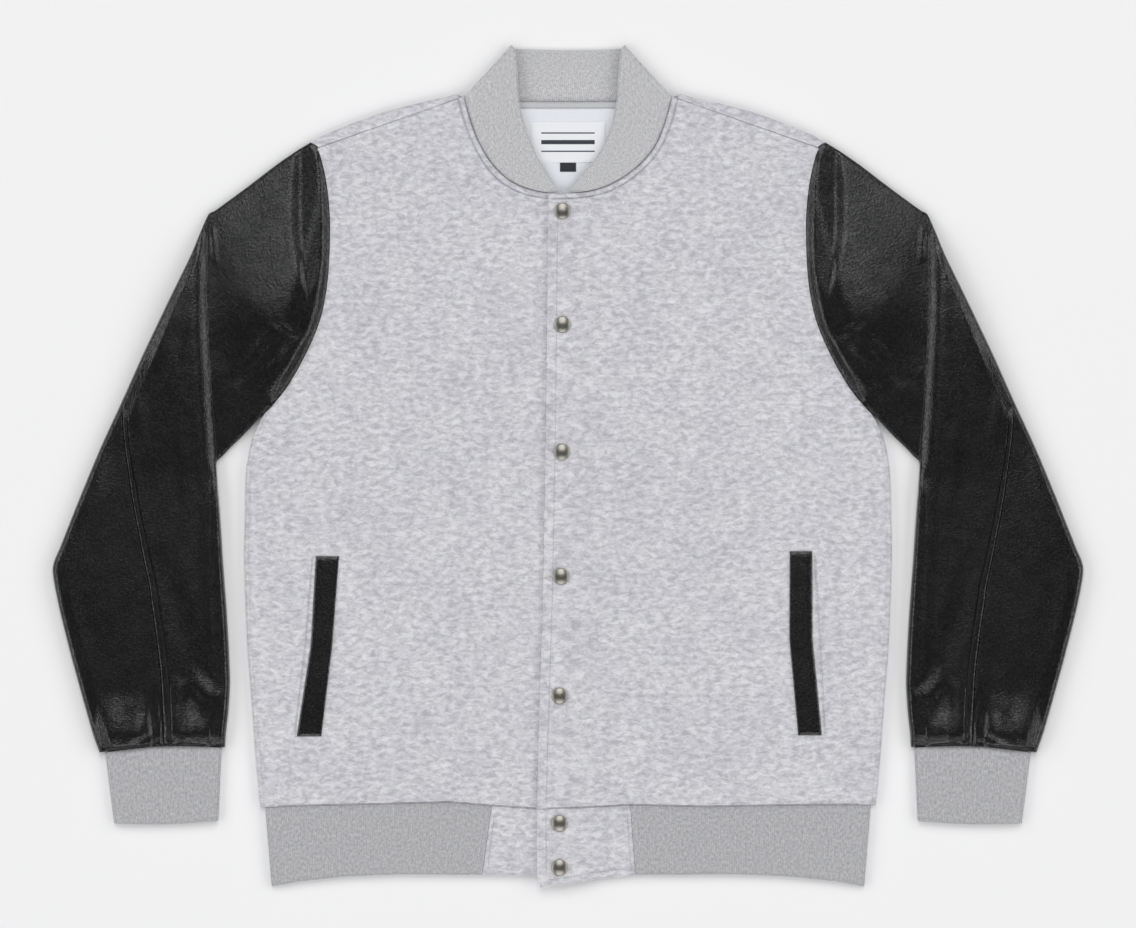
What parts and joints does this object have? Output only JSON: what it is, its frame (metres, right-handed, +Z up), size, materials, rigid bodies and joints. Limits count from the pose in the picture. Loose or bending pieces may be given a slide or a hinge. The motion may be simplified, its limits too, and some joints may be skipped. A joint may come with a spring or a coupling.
{
  "type": "varsity jacket",
  "caption": "Fleece varsity jacket with leather sleeves, rib-knit collar, cuffs and waistband, welt pockets and a snap front, laid flat face up.",
  "frame": {"origin": "under the middle of the outline, on the surface that the jacket lies on", "axes": "+X towards the wearer's left sleeve, +Y from hem to collar, +Z up out of the jacket's front"},
  "size_m": [0.926, 0.756, 0.0154],
  "materials": {
    "fleece": "brushed fleece",
    "rib_knit": "rib knit",
    "leather": "coated, low sheen",
    "lining": "plain weave",
    "label": "woven",
    "size_tab": "woven",
    "snap": "brushed nickel"
  },
  "bodies": {
    "root": {"back_panel": "fleece", "front_panel_left": "fleece", "front_panel_right": "fleece", "waist_tab_left": "fleece", "waist_tab_right": "fleece", "neck_binding_left": "fleece", "neck_binding_right": "fleece", "pocket_lip_left": "fleece", "pocket_lip_right": "fleece", "waistband_rib": "rib_knit", "collar": "rib_knit", "cuff_left": "rib_knit", "cuff_right": "rib_knit", "top_sleeve_left": "leather", "top_sleeve_right": "leather", "under_sleeve_left": "leather", "under_sleeve_right": "leather", "pocket_welt_left": "leather", "pocket_welt_right": "leather", "back_neck_lining": "lining", "back_neck_tape": "lining", "neck_label": "label", "size_tab": "size_tab", "snap_1": "snap", "snap_2": "snap", "snap_3": "snap", "snap_4": "snap", "snap_5": "snap", "snap_6": "snap", "snap_7": "snap"}
  },
  "joints": []
}
